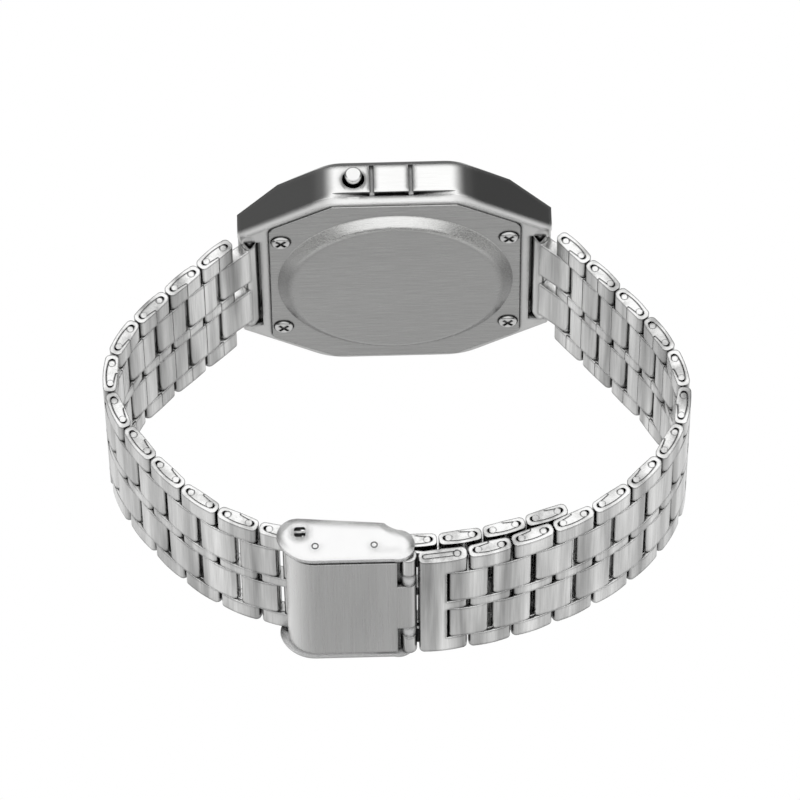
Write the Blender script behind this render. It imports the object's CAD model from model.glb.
import bmesh
import bpy
from math import atan2, cos, hypot, radians, sin
from mathutils import Matrix, Vector


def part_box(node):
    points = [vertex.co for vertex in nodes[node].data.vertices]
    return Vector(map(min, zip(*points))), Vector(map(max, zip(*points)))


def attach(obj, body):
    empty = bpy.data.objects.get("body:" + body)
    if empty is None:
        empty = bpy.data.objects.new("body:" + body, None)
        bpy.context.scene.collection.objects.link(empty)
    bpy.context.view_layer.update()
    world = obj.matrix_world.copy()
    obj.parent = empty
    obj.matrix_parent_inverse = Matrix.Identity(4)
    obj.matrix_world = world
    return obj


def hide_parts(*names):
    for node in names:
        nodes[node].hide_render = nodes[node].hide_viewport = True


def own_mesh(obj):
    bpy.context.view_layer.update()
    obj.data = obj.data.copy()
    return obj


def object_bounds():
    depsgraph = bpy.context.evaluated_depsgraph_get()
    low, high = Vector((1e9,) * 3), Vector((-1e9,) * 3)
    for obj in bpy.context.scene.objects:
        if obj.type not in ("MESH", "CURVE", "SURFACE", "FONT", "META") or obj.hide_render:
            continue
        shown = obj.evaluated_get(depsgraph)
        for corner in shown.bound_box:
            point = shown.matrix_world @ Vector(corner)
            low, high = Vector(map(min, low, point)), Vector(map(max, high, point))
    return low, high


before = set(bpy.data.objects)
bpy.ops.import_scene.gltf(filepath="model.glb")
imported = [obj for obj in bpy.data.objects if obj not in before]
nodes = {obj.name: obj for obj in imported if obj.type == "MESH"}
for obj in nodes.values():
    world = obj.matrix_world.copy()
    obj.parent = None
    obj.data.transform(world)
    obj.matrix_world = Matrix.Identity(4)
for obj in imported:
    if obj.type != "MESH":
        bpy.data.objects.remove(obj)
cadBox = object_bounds()
mm = 0.001
print("frame loaded:", len(nodes), "nodes")


# helpers for shader trees

def newGroup(name, inputs, outputs):
    group = bpy.data.node_groups.new(name, "ShaderNodeTree")
    for socketName, kind, value in inputs:
        socket = group.interface.new_socket(name=socketName, in_out="INPUT", socket_type=kind)
        socket.default_value = value
    for socketName, kind in outputs:
        group.interface.new_socket(name=socketName, in_out="OUTPUT", socket_type=kind)
    start = group.nodes.new("NodeGroupInput")
    end = group.nodes.new("NodeGroupOutput")
    return group, start, end


def addMath(tree, kind, first, second):
    node = tree.nodes.new("ShaderNodeMath")
    node.operation = kind
    for socket, value in zip(node.inputs, (first, second)):
        if isinstance(value, (int, float)):
            socket.default_value = value
        else:
            tree.links.new(value, socket)
    return node.outputs[0]


def fadeBetween(tree, value, start, finish, toneStart, toneFinish):
    fade = tree.nodes.new("ShaderNodeMapRange")
    fade.interpolation_type = "SMOOTHSTEP"
    limits = {"From Min": start, "From Max": finish, "To Min": toneStart, "To Max": toneFinish}
    for key, number in limits.items():
        fade.inputs[key].default_value = number
    tree.links.new(value, fade.inputs["Value"])
    return fade.outputs[0]


def toneWhere(tree, mask, tone):
    # 1 where the mask is 0, and the tone where it is 1
    return addMath(tree, "ADD", addMath(tree, "MULTIPLY", mask, tone - 1), 1)


def scaleColor(tree, color, tone):
    # a fixed colour, or one from another node, times a tone
    node = tree.nodes.new("ShaderNodeVectorMath")
    node.operation = "SCALE"
    if isinstance(color, tuple):
        node.inputs[0].default_value = color
    else:
        tree.links.new(color, node.inputs[0])
    tree.links.new(tone, node.inputs["Scale"])
    return node.outputs[0]


def newMaterial(name):
    material = bpy.data.materials.new(name)
    material.use_nodes = True
    tree = material.node_tree
    return material, tree, tree.nodes["Principled BSDF"]


def addGroup(tree, group, values):
    node = tree.nodes.new("ShaderNodeGroup")
    node.node_tree = group
    for key, value in values.items():
        node.inputs[key].default_value = value
    return node


# shader groups that more than one finish uses

groupDetail = {"grainDetail": 3, "edgeSamples": 4, "gapSamples": 8}


def makeBrushedGrain():
    # fine streaks: low counts per metre along the brush, high counts across it
    group, start, end = newGroup(
        "brushedGrain",
        [("Place", "NodeSocketVector", (0, 0, 0)),
         ("Streaks", "NodeSocketVector", (9000, 9000, 300)),
         ("Strength", "NodeSocketFloat", 0.3)],
        [("Tone", "NodeSocketFloat"), ("Height", "NodeSocketFloat")],
    )
    spread = group.nodes.new("ShaderNodeVectorMath")
    spread.operation = "MULTIPLY"
    group.links.new(start.outputs["Place"], spread.inputs[0])
    group.links.new(start.outputs["Streaks"], spread.inputs[1])
    noise = group.nodes.new("ShaderNodeTexNoise")
    noise.inputs["Scale"].default_value = 1
    noise.inputs["Detail"].default_value = groupDetail["grainDetail"]
    group.links.new(spread.outputs[0], noise.inputs["Vector"])
    centred = addMath(group, "SUBTRACT", noise.outputs["Fac"], 0.5)
    swing = addMath(group, "MULTIPLY", centred, start.outputs["Strength"])
    group.links.new(addMath(group, "ADD", swing, 1), end.inputs["Tone"])
    group.links.new(noise.outputs["Fac"], end.inputs["Height"])
    return group


def makeEdgeShine():
    # 1 on edges, inner and outer, and 0 on flat faces
    group, start, end = newGroup(
        "edgeShine",
        [("Width", "NodeSocketFloat", 0.0001), ("Gain", "NodeSocketFloat", 6)],
        [("Mask", "NodeSocketFloat")],
    )
    rounded = group.nodes.new("ShaderNodeBevel")
    rounded.samples = groupDetail["edgeSamples"]
    group.links.new(start.outputs["Width"], rounded.inputs["Radius"])
    surface = group.nodes.new("ShaderNodeNewGeometry")
    compare = group.nodes.new("ShaderNodeVectorMath")
    compare.operation = "DOT_PRODUCT"
    group.links.new(rounded.outputs["Normal"], compare.inputs[0])
    group.links.new(surface.outputs["Normal"], compare.inputs[1])
    bent = addMath(group, "SUBTRACT", 1, compare.outputs["Value"])
    mask = addMath(group, "MULTIPLY", bent, start.outputs["Gain"])
    mask.node.use_clamp = True
    group.links.new(mask, end.inputs["Mask"])
    return group


def makeGapShade():
    # 0 deep inside narrow gaps, 1 on open faces
    group, start, end = newGroup(
        "gapShade",
        [("Reach", "NodeSocketFloat", 0.0004), ("Depth", "NodeSocketFloat", 0.6)],
        [("Tone", "NodeSocketFloat")],
    )
    hidden = group.nodes.new("ShaderNodeAmbientOcclusion")
    hidden.samples = groupDetail["gapSamples"]
    group.links.new(start.outputs["Reach"], hidden.inputs["Distance"])
    dark = addMath(group, "SUBTRACT", 1, hidden.outputs["AO"])
    scaled = addMath(group, "MULTIPLY", dark, start.outputs["Depth"])
    tone = addMath(group, "SUBTRACT", 1, scaled)
    tone.node.use_clamp = True
    group.links.new(tone, end.inputs["Tone"])
    return group


brushedGrain = makeBrushedGrain()
edgeShine = makeEdgeShine()
gapShade = makeGapShade()
print("shader groups made")


# metal finishes: lengths in metres, streaks and bandScale in counts per metre along X, Y and Z

metalBase = {
    "grain": 0.1, "bump": 0.0, "bumpHeight": 0.0001, "bands": 0.0, "bandScale": (300, 300, 300),
    "softEdge": 0.0001, "softSamples": 6, "shine": 0.1, "shineWidth": 0.0001, "shineGain": 6,
    "shineColor": (0.95, 0.95, 0.95, 1), "rimDark": 0.0, "rimWidth": 0.0001, "rimGain": 3,
    "topTone": 1.0, "topFade": (0.85, 0.95), "sideTone": 1.0, "endLift": 0.0,
}

rowSteel = {
    "color": (0.63, 0.63, 0.625), "rough": 0.19, "streaks": (6500, 6500, 160), "grain": 0.5, "bump": 0.05,
    "bands": 2.4, "bandScale": (420, 420, 30), "softEdge": 0.00022, "shine": 0.9, "topTone": 1.35,
}

metalFinishes = {
    "bandSteel": {
        **rowSteel, "rimDark": 1.0, "rimWidth": 0.0008,
        "gapDepth": 1.3, "gapReach": 0.0007, "endLift": 0.9,
    },
    "heldSteel": {
        **rowSteel, "rimDark": 0.85, "rimWidth": 0.0006,
        "gapDepth": 1.2, "gapReach": 0.002, "endLift": 0.3,
    },
    "claspSteel": {
        "color": (0.88, 0.88, 0.88), "rough": 0.12, "streaks": (500, 500, 500), "grain": 0.05,
        "softEdge": 0.0015, "shine": 0.6, "shineWidth": 0.00008, "rimDark": 0.95, "rimWidth": 0.0014,
        "topTone": 1.1, "gapDepth": 1.2, "gapReach": 0.0015,
    },
    "coverSteel": {
        "color": (0.50, 0.50, 0.495), "rough": 0.28, "streaks": (7000, 7000, 90), "grain": 0.25,
        "bump": 0.04, "bands": 0.3, "bandScale": (260, 260, 20), "softEdge": 0.0003, "shine": 0.5,
        "rimDark": 0.3, "rimWidth": 0.0006, "topTone": 1.2, "sideTone": 1.9,
        "gapDepth": 0.9, "gapReach": 0.0006,
    },
    "caseSteel": {
        "color": (0.62, 0.62, 0.615), "rough": 0.10, "streaks": (300, 9000, 9000),
        "bands": 0.15, "bandScale": (120, 120, 120), "softEdge": 0.0009, "shine": 0.8,
        "rimDark": 0.2, "rimWidth": 0.0005, "topTone": 1.6, "gapDepth": 1.25, "gapReach": 0.0014,
    },
    "backSteel": {
        "color": (0.40, 0.40, 0.395), "rough": 0.26, "streaks": (260, 9000, 9000), "grain": 0.45,
        "bump": 0.05, "bands": 0.12, "bandScale": (30, 200, 200), "softEdge": 0.0003,
        "shine": 0.6, "shineWidth": 0.00008, "topTone": 2.4, "topFade": (0.08, 0.4), "sideTone": -0.3,
        "gapDepth": 0.9, "gapReach": 0.0004,
    },
    "screwSteel": {
        "color": (0.70, 0.70, 0.695), "rough": 0.18, "streaks": (3000, 3000, 3000), "grain": 0.15,
        "bands": 0.3, "bandScale": (900, 900, 900), "shine": 0.8, "shineWidth": 0.00006,
        "rimDark": 0.9, "rimWidth": 0.00022, "topTone": 1.2, "gapDepth": 1.0, "gapReach": 0.0005,
    },
    "pusherSteel": {
        "color": (0.85, 0.85, 0.845), "rough": 0.08, "streaks": (1500, 1500, 1500), "grain": 0.03,
        "softEdge": 0.0002, "shine": 0.4, "rimDark": 0.6, "rimWidth": 0.0003,
        "topTone": 1.1, "gapDepth": 0.95, "gapReach": 0.0006,
    },
    "wireSteel": {
        "color": (0.50, 0.50, 0.50), "rough": 0.3, "streaks": (3000, 3000, 3000),
        "shineWidth": 0.00005, "gapDepth": 0.8, "gapReach": 0.0004,
    },
    "buzzerBrass": {
        "color": (0.60, 0.44, 0.18), "rough": 0.3, "streaks": (2000, 2000, 2000),
        "shineWidth": 0.00005, "gapDepth": 0.4, "gapReach": 0.0003,
    },
}


def softNormal(tree, finish, height):
    # the surface's normal with its corners softened, and the grain's height on it
    softened = tree.nodes.new("ShaderNodeBevel")
    softened.samples = finish["softSamples"]
    softened.inputs["Radius"].default_value = finish["softEdge"]
    if not finish["bump"]:
        return softened.outputs["Normal"]
    bump = tree.nodes.new("ShaderNodeBump")
    bump.inputs["Strength"].default_value = finish["bump"]
    bump.inputs["Distance"].default_value = finish["bumpHeight"]
    tree.links.new(softened.outputs["Normal"], bump.inputs["Normal"])
    tree.links.new(height, bump.inputs["Height"])
    return bump.outputs["Normal"]


def metalMaterial(name, changes):
    finish = {**metalBase, **changes}
    material, tree, shader = newMaterial(name)
    shader.inputs["Metallic"].default_value = 1
    place = tree.nodes.new("ShaderNodeTexCoord")
    grain = addGroup(tree, brushedGrain, {"Streaks": finish["streaks"], "Strength": finish["grain"]})
    broad = addGroup(tree, brushedGrain, {"Streaks": finish["bandScale"], "Strength": finish["bands"]})
    for brushed in (grain, broad):
        tree.links.new(place.outputs["Object"], brushed.inputs["Place"])
    gaps = addGroup(tree, gapShade, {"Reach": finish["gapReach"], "Depth": finish["gapDepth"]})
    edges = addGroup(tree, edgeShine, {"Width": finish["shineWidth"], "Gain": finish["shineGain"]})
    rims = addGroup(tree, edgeShine, {"Width": finish["rimWidth"], "Gain": finish["rimGain"]})

    # how far a face looks up or to the sides
    surface = tree.nodes.new("ShaderNodeNewGeometry")
    facing = tree.nodes.new("ShaderNodeSeparateXYZ")
    tree.links.new(surface.outputs["Normal"], facing.inputs[0])
    upward = fadeBetween(tree, facing.outputs["Z"], *finish["topFade"], 0, 1)
    sideways = addMath(tree, "MULTIPLY", facing.outputs["X"], facing.outputs["X"])

    rimShare = addMath(tree, "MULTIPLY", rims.outputs["Mask"], addMath(tree, "SUBTRACT", 1, upward))
    faceTone = addMath(tree, "MULTIPLY", grain.outputs["Tone"], broad.outputs["Tone"])
    for tone in (
        toneWhere(tree, rimShare, 1 - finish["rimDark"]),
        toneWhere(tree, sideways, finish["sideTone"]),
        toneWhere(tree, upward, finish["topTone"]),
    ):
        faceTone = addMath(tree, "MULTIPLY", faceTone, tone)
    rubbed = tree.nodes.new("ShaderNodeMix")
    rubbed.data_type = "RGBA"
    rubbed.inputs["B"].default_value = finish["shineColor"]
    tree.links.new(scaleColor(tree, finish["color"], faceTone), rubbed.inputs["A"])
    shine = addMath(tree, "MULTIPLY", edges.outputs["Mask"], finish["shine"])
    tree.links.new(shine, rubbed.inputs["Factor"])

    # faces that look up keep only a share of the gaps' shade
    shade = addMath(tree, "SUBTRACT", 1, gaps.outputs["Tone"])
    spared = addMath(tree, "MULTIPLY", shade, addMath(tree, "MULTIPLY", upward, finish["endLift"]))
    gapTone = addMath(tree, "ADD", gaps.outputs["Tone"], spared)
    tree.links.new(scaleColor(tree, rubbed.outputs["Result"], gapTone), shader.inputs["Base Color"])
    rough = addMath(tree, "MULTIPLY", grain.outputs["Tone"], finish["rough"])
    tree.links.new(rough, shader.inputs["Roughness"])
    tree.links.new(softNormal(tree, finish, grain.outputs["Height"]), shader.inputs["Normal"])
    return material


# plain finishes: plastics, rubber, prints and the display

speckleScale = 2500  # counts per metre

plainFinishes = {
    "blackRubber": {"color": (0.025, 0.025, 0.026), "rough": 0.6, "speckle": 0.15},
    "modulePlastic": {"color": (0.05, 0.05, 0.055), "rough": 0.45, "speckle": 0.1},
    "boardResin": {"color": (0.03, 0.16, 0.07), "rough": 0.4, "speckle": 0.2},
    "panelPrint": {"color": (0.012, 0.014, 0.022), "rough": 0.35, "speckle": 0.1},
    "panelInk": {"color": (0.62, 0.63, 0.62), "rough": 0.4, "speckle": 0.05},
    "displayGlass": {"color": (0.34, 0.38, 0.32), "rough": 0.22, "speckle": 0.04},
    "displayInk": {"color": (0.012, 0.014, 0.016), "rough": 0.3, "speckle": 0.0},
    "lampCap": {"color": (0.70, 0.62, 0.38), "rough": 0.2, "speckle": 0.05},
}


def plainMaterial(name, finish):
    material, tree, shader = newMaterial(name)
    shader.inputs["Roughness"].default_value = finish["rough"]
    place = tree.nodes.new("ShaderNodeTexCoord")
    noise = tree.nodes.new("ShaderNodeTexNoise")
    noise.inputs["Scale"].default_value = speckleScale
    tree.links.new(place.outputs["Object"], noise.inputs["Vector"])
    centred = addMath(tree, "SUBTRACT", noise.outputs["Fac"], 0.5)
    swing = addMath(tree, "MULTIPLY", centred, finish["speckle"])
    toned = scaleColor(tree, finish["color"], addMath(tree, "ADD", swing, 1))
    tree.links.new(toned, shader.inputs["Base Color"])
    return material


crystalClear = {
    "Base Color": (0.98, 0.99, 1, 1), "Roughness": 0.02, "Transmission Weight": 1, "IOR": 1.46,
}


def crystalMaterial(name, values):
    material, _, shader = newMaterial(name)
    for key, value in values.items():
        shader.inputs[key].default_value = value
    return material


materials = {name: metalMaterial(name, finish) for name, finish in metalFinishes.items()}
materials.update({name: plainMaterial(name, finish) for name, finish in plainFinishes.items()})
materials["crystalClear"] = crystalMaterial("crystalClear", crystalClear)

nodeFinishes = {
    "case_body": "caseSteel", "back_cover": "backSteel", "back_screws": "screwSteel",
    "back_gasket": "blackRubber", "crystal": "crystalClear", "dial_panel": "panelPrint",
    "module_frame": "modulePlastic", "circuit_board": "boardResin", "lcd_glass": "displayGlass",
    "zebra_strips": "blackRubber", "lamp": "lampCap", "battery": "pusherSteel",
    "battery_strap": "wireSteel", "buzzer_disc": "buzzerBrass", "buzzer_spring": "wireSteel",
    "pusher_light": "pusherSteel", "pusher_mode": "pusherSteel", "pusher_alarm": "pusherSteel",
    "pusher_spring_light": "wireSteel", "pusher_spring_mode": "wireSteel",
    "pusher_spring_alarm": "wireSteel",
    "pusher_seals": "blackRubber", "spring_bar_left": "wireSteel", "spring_bar_right": "wireSteel",
    "clasp_frame": "claspSteel", "clasp_cover": "coverSteel", "clasp_pin": "wireSteel",
    "catch_plate": "wireSteel", "end_link": "bandSteel", "band_in_clasp": "heldSteel",
}

for name, piece in nodes.items():
    finish = nodeFinishes.get(name, "bandSteel")  # the rows and end tubes share the band's steel
    piece.data.materials.clear()
    piece.data.materials.append(materials[finish])
print("finishes set")


# pusher springs, which shorten with their pushers; lengths in mm

springs = {"keep": 0.53, "weld": 0.001, "sides": {"light": -1, "mode": -1, "alarm": 1}}

for name, side in springs["sides"].items():
    nodeName = "pusher_spring_" + name
    mesh = nodes[nodeName].data.copy()
    wires = bmesh.new()
    wires.from_mesh(mesh)
    bmesh.ops.remove_doubles(wires, verts=wires.verts, dist=springs["weld"] * mm)
    wires.to_mesh(mesh)
    wires.free()
    spring = bpy.data.objects.new("spring_" + name, mesh)
    spring.matrix_world = nodes[nodeName].matrix_world.copy()
    bpy.context.collection.objects.link(spring)
    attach(spring, "case")
    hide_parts(nodeName)
    # the end that rests on the case: the low one along Z for side 1, the high one for side -1
    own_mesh(spring)
print("springs made")


# printed lines and display figures, as thin strips; lengths in mm

def makeStripRow():
    group = bpy.data.node_groups.new("stripRow", "GeometryNodeTree")
    for socketName, kind in (
        ("Geometry", "NodeSocketGeometry"), ("Height", "NodeSocketFloat"), ("Ink", "NodeSocketMaterial"),
    ):
        group.interface.new_socket(name=socketName, in_out="INPUT", socket_type=kind)
    group.interface.new_socket(name="Geometry", in_out="OUTPUT", socket_type="NodeSocketGeometry")
    start = group.nodes.new("NodeGroupInput")
    end = group.nodes.new("NodeGroupOutput")
    strip = group.nodes.new("GeometryNodeMeshCube")
    strip.inputs["Size"].default_value = (1, 1, 1)
    wanted = {}
    for attribute in ("turn", "long", "wide"):
        read = group.nodes.new("GeometryNodeInputNamedAttribute")
        read.data_type = "FLOAT"
        read.inputs["Name"].default_value = attribute
        wanted[attribute] = read.outputs["Attribute"]
    stretch = group.nodes.new("ShaderNodeCombineXYZ")
    group.links.new(wanted["long"], stretch.inputs["X"])
    group.links.new(start.outputs["Height"], stretch.inputs["Y"])
    group.links.new(wanted["wide"], stretch.inputs["Z"])
    swivel = group.nodes.new("ShaderNodeCombineXYZ")
    group.links.new(wanted["turn"], swivel.inputs["Y"])
    copies = group.nodes.new("GeometryNodeInstanceOnPoints")
    group.links.new(start.outputs["Geometry"], copies.inputs["Points"])
    group.links.new(strip.outputs["Mesh"], copies.inputs["Instance"])
    group.links.new(swivel.outputs[0], copies.inputs["Rotation"])
    group.links.new(stretch.outputs[0], copies.inputs["Scale"])
    real = group.nodes.new("GeometryNodeRealizeInstances")
    inked = group.nodes.new("GeometryNodeSetMaterial")
    group.links.new(copies.outputs[0], real.inputs[0])
    group.links.new(real.outputs[0], inked.inputs["Geometry"])
    group.links.new(start.outputs["Ink"], inked.inputs["Material"])
    group.links.new(inked.outputs[0], end.inputs["Geometry"])
    return group


stripRow = makeStripRow()


def buildStrips(name, strips, settings):
    # each strip is its middle along X and Z, its turn about Y, its length and its width
    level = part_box(settings["on"])[1][1] + settings["lift"] * mm
    seeds = bpy.data.meshes.new(name + "Seeds")
    seeds.from_pydata([(x * mm, level, z * mm) for x, z, _, _, _ in strips], [], [])
    for attribute, column, unit in (("turn", 2, 1), ("long", 3, mm), ("wide", 4, mm)):
        layer = seeds.attributes.new(attribute, "FLOAT", "POINT")
        for index, strip in enumerate(strips):
            layer.data[index].value = strip[column] * unit
    holder = bpy.data.objects.new(name + "Seeds", seeds)
    bpy.context.collection.objects.link(holder)
    modifier = holder.modifiers.new("stripRow", "NODES")
    modifier.node_group = stripRow
    values = {"Height": settings["height"] * mm, "Ink": materials[settings["ink"]]}
    for item in stripRow.interface.items_tree:
        if item.in_out == "INPUT" and item.name in values:
            modifier[item.identifier] = values[item.name]
    bpy.context.view_layer.update()
    grown = holder.evaluated_get(bpy.context.evaluated_depsgraph_get())
    mesh = bpy.data.meshes.new_from_object(grown)
    mesh.name = name
    piece = bpy.data.objects.new(name, mesh)
    bpy.context.collection.objects.link(piece)
    bpy.data.objects.remove(holder)
    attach(piece, "case")
    print(name, "faces:", len(mesh.polygons))


def stripBetween(start, finish, wide):
    along, across = finish[0] - start[0], finish[1] - start[1]
    middle = ((start[0] + finish[0]) / 2, (start[1] + finish[1]) / 2)
    return (*middle, atan2(-across, along), hypot(along, across), wide)


panelLines = {
    "on": "dial_panel", "lift": 0, "height": 0.03, "ink": "panelInk", "slot": "panel_print",
    "wide": 0.16, "corner": 1.2, "frames": ((6.3, 10.9), (8.2, 11.2)),
}


def panelLineStrips():
    strips = []
    for halfUp, halfAcross in panelLines["frames"]:
        inUp, inAcross = halfUp - panelLines["corner"], halfAcross - panelLines["corner"]
        outline = [
            (halfUp, inAcross), (inUp, halfAcross), (-inUp, halfAcross), (-halfUp, inAcross),
            (-halfUp, -inAcross), (-inUp, -halfAcross), (inUp, -halfAcross), (halfUp, -inAcross),
        ]
        for index, corner in enumerate(outline):
            strips.append(stripBetween(corner, outline[(index + 1) % len(outline)], panelLines["wide"]))
    return strips


displayFigures = {
    "on": "lcd_glass", "lift": 0.01, "height": 0.012, "ink": "displayInk", "slot": "display_glass",
    "slant": 0.09, "segmentGap": 0.5, "colonRise": 0.22, "colonStep": 0.45,
    "rows": [
        {"text": "10:08", "left": -8.4, "middle": -1.0, "tall": 5.0, "wide": 2.3, "step": 3.05, "bar": 0.5},
        {"text": "35", "left": 4.9, "middle": -1.75, "tall": 3.5, "wide": 1.55, "step": 2.15, "bar": 0.36},
        {"text": "28", "left": 4.9, "middle": 3.4, "tall": 2.2, "wide": 1.15, "step": 1.7, "bar": 0.26},
    ],
}
# a segment's two ends, up and across, from -1 to 1
segmentEnds = {
    "a": ((1, -1), (1, 1)), "b": ((1, 1), (0, 1)), "c": ((0, 1), (-1, 1)), "d": ((-1, -1), (-1, 1)),
    "e": ((0, -1), (-1, -1)), "f": ((1, -1), (0, -1)), "g": ((0, -1), (0, 1)),
}
figureSegments = {"0": "abcdef", "1": "bc", "2": "abged", "3": "abgcd", "5": "afgcd", "8": "abcdefg"}


def figureStrips():
    strips = []
    slant = displayFigures["slant"]
    for row in displayFigures["rows"]:
        left, bar = row["left"], row["bar"]
        for sign in row["text"]:
            if sign == ":":
                for rise in (-displayFigures["colonRise"], displayFigures["colonRise"]):
                    up = rise * row["tall"]
                    strips.append((row["middle"] + up, left + slant * up, 0, bar, bar))
                left += row["step"] * displayFigures["colonStep"]
                continue
            for segment in figureSegments[sign]:
                ends = []
                for up, across in segmentEnds[segment]:
                    rise = up * row["tall"] / 2
                    ends.append((row["middle"] + rise, left + across * row["wide"] / 2 + slant * rise))
                middleX, middleZ, turn, long, wide = stripBetween(*ends, bar)
                strips.append((middleX, middleZ, turn, long - bar * displayFigures["segmentGap"], wide))
            left += row["step"]
    return strips


buildStrips("panelPrintLines", panelLineStrips(), panelLines)
buildStrips("displayFigures", figureStrips(), displayFigures)


# studio: floor, lamps, world and camera; lengths in metres

studio = {
    "floorTone": 0.85, "floorRough": 0.9, "floorSize": 3.0, "floorGlow": 0.45,
    "greyPlace": (-0.004, -0.058), "greyReach": 0.028, "greyTone": 0.55,
    "worldDiffuse": 0.5,
    "lamps": [
        {"name": "softTop", "place": (-0.15, -0.25, 0.75), "size": 0.6, "power": 2.0},
        {"name": "softRight", "place": (0.6, -0.35, 0.45), "size": 0.5, "power": 1.2},
    ],
    "darkSides": [
        {"toward": (-0.80, 0.50, 0.33), "tone": 0.12, "near": 0.93, "far": 0.70},
        {"toward": (0.80, 0.50, 0.33), "tone": 0.08, "near": 0.93, "far": 0.70},
        {"toward": (0, 0.97, 0.15), "tone": 0.15, "near": 0.98, "far": 0.76},
    ],
    "darkBehind": {"from": 0.022, "to": 0.042, "tone": 0.10},
}


def lightPathSum(tree):
    path = tree.nodes.new("ShaderNodeLightPath")
    both = addMath(tree, "MAXIMUM", path.outputs["Is Camera Ray"], path.outputs["Is Glossy Ray"])
    return addMath(tree, "MAXIMUM", both, path.outputs["Is Transmission Ray"])


def buildWorld():
    # white all round, with soft dark sides that only reflections see
    world = bpy.data.worlds.new("studioWorld")
    bpy.context.scene.world = world
    world.use_nodes = True
    tree = world.node_tree
    background = tree.nodes["Background"]
    background.inputs["Color"].default_value = (1, 1, 1, 1)
    direction = tree.nodes.new("ShaderNodeTexCoord")
    tone = None
    for side in studio["darkSides"]:
        facing = tree.nodes.new("ShaderNodeVectorMath")
        facing.operation = "DOT_PRODUCT"
        facing.inputs[1].default_value = Vector(side["toward"]).normalized()
        tree.links.new(direction.outputs["Generated"], facing.inputs[0])
        part = fadeBetween(tree, facing.outputs["Value"], side["far"], side["near"], 1, side["tone"])
        tone = part if tone is None else addMath(tree, "MULTIPLY", tone, part)
    path = tree.nodes.new("ShaderNodeLightPath")
    glossy = tree.nodes.new("ShaderNodeMix")
    tree.links.new(path.outputs["Is Glossy Ray"], glossy.inputs["Factor"])
    seen = lightPathSum(tree)
    span = addMath(tree, "MULTIPLY", seen, 1 - studio["worldDiffuse"])
    tree.links.new(addMath(tree, "ADD", span, studio["worldDiffuse"]), glossy.inputs["A"])
    tree.links.new(tone, glossy.inputs["B"])
    tree.links.new(glossy.outputs["Result"], background.inputs["Strength"])


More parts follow.
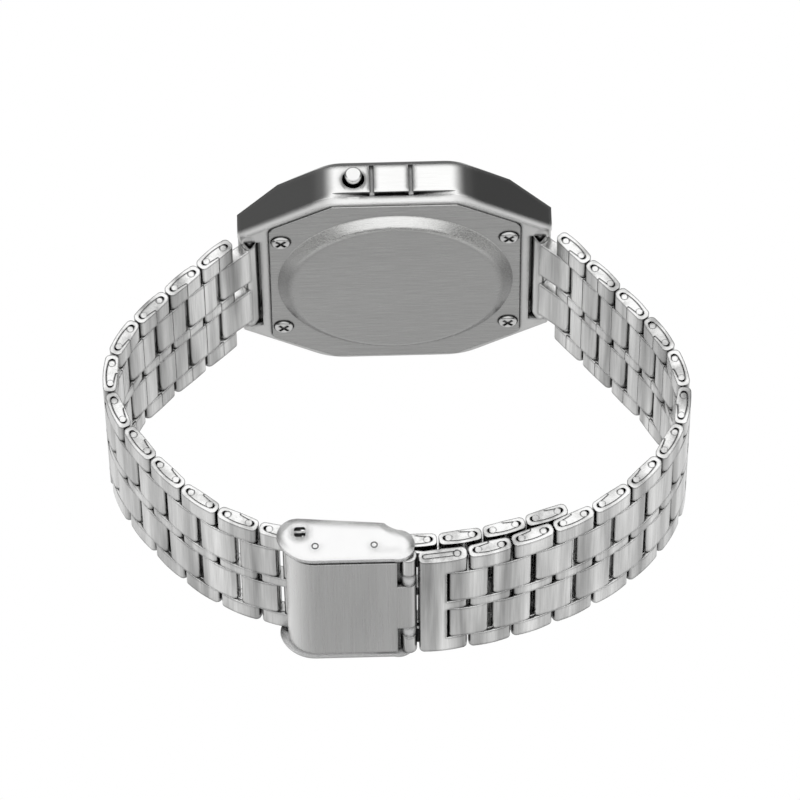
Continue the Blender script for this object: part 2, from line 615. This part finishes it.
def buildFloor(height):
    half = studio["floorSize"] / 2
    mesh = bpy.data.meshes.new("floor")
    corners = [(x * half, y * half, height) for x, y in ((-1, -1), (1, -1), (1, 1), (-1, 1))]
    mesh.from_pydata(corners, [], [(0, 1, 2, 3)])
    floor = bpy.data.objects.new("floor", mesh)
    bpy.context.collection.objects.link(floor)
    material, tree, shader = newMaterial("paleFloor")
    floorTone = studio["floorTone"]
    shader.inputs["Base Color"].default_value = (floorTone, floorTone, floorTone, 1)
    shader.inputs["Roughness"].default_value = studio["floorRough"]
    shader.inputs["Specular IOR Level"].default_value = 0
    # plain white for the camera; reflections see a dimmer floor, grey before the clasp and dark behind
    path = tree.nodes.new("ShaderNodeLightPath")
    place = tree.nodes.new("ShaderNodeTexCoord")
    away = tree.nodes.new("ShaderNodeVectorMath")
    away.operation = "DISTANCE"
    away.inputs[1].default_value = (*studio["greyPlace"], height)
    tree.links.new(place.outputs["Object"], away.inputs[0])
    grey = fadeBetween(tree, away.outputs["Value"], 0, studio["greyReach"], studio["greyTone"], 1)
    spot = tree.nodes.new("ShaderNodeSeparateXYZ")
    tree.links.new(place.outputs["Object"], spot.inputs[0])
    behind = studio["darkBehind"]
    back = fadeBetween(tree, spot.outputs["Y"], behind["from"], behind["to"], 1, behind["tone"])
    seenTone = addMath(tree, "MULTIPLY", grey, back)
    glow = tree.nodes.new("ShaderNodeEmission")
    tree.links.new(addMath(tree, "MAXIMUM", seenTone, path.outputs["Is Camera Ray"]), glow.inputs["Strength"])
    glowShare = addMath(tree, "MULTIPLY", lightPathSum(tree), studio["floorGlow"])
    darkShare = addMath(tree, "MULTIPLY", path.outputs["Is Glossy Ray"], addMath(tree, "SUBTRACT", 1, back))
    share = addMath(tree, "MAXIMUM", glowShare, darkShare)
    mix = tree.nodes.new("ShaderNodeMixShader")
    tree.links.new(addMath(tree, "MAXIMUM", share, path.outputs["Is Camera Ray"]), mix.inputs[0])
    tree.links.new(shader.outputs[0], mix.inputs[1])
    tree.links.new(glow.outputs[0], mix.inputs[2])
    tree.links.new(mix.outputs[0], tree.nodes["Material Output"].inputs["Surface"])
    mesh.materials.append(material)


def buildLamps(aim):
    for setup in studio["lamps"]:
        data = bpy.data.lights.new(setup["name"], "AREA")
        data.size = setup["size"]
        data.energy = setup["power"]
        lamp = bpy.data.objects.new(setup["name"], data)
        lamp.location = setup["place"]
        lamp.rotation_euler = (aim - Vector(setup["place"])).to_track_quat("-Z", "Y").to_euler()
        lamp.visible_glossy = False
        bpy.context.collection.objects.link(lamp)


photoView = {
    "target": (0.00039, 0, -0.0245), "distance": 0.776,
    "azimuth": 0.94, "elevation": 57.5, "roll": -0.61, "lens": 288, "sensor": 36, "clipStart": 0.01,
}


def buildCamera():
    turn, rise, roll = (radians(photoView[key]) for key in ("azimuth", "elevation", "roll"))
    forward = Vector((sin(turn) * cos(rise), cos(turn) * cos(rise), -sin(rise)))
    across = Vector((cos(turn), -sin(turn), 0))
    upward = across.cross(forward)
    level = cos(roll) * across + sin(roll) * upward
    top = -sin(roll) * across + cos(roll) * upward
    data = bpy.data.cameras.new("photoCamera")
    data.lens = photoView["lens"]
    data.sensor_width = photoView["sensor"]
    data.clip_start = photoView["clipStart"]
    camera = bpy.data.objects.new("photoCamera", data)
    place = Vector(photoView["target"]) - forward * photoView["distance"]
    camera.matrix_world = Matrix((
        (level.x, top.x, -forward.x, place.x),
        (level.y, top.y, -forward.y, place.y),
        (level.z, top.z, -forward.z, place.z),
        (0, 0, 0, 1),
    ))
    bpy.context.collection.objects.link(camera)
    bpy.context.scene.camera = camera


aim = Vector(photoView["target"])
buildWorld()
buildFloor(cadBox[0][2])
buildLamps(aim)
buildCamera()
bpy.context.scene.view_settings.view_transform = "Standard"
print("studio built")
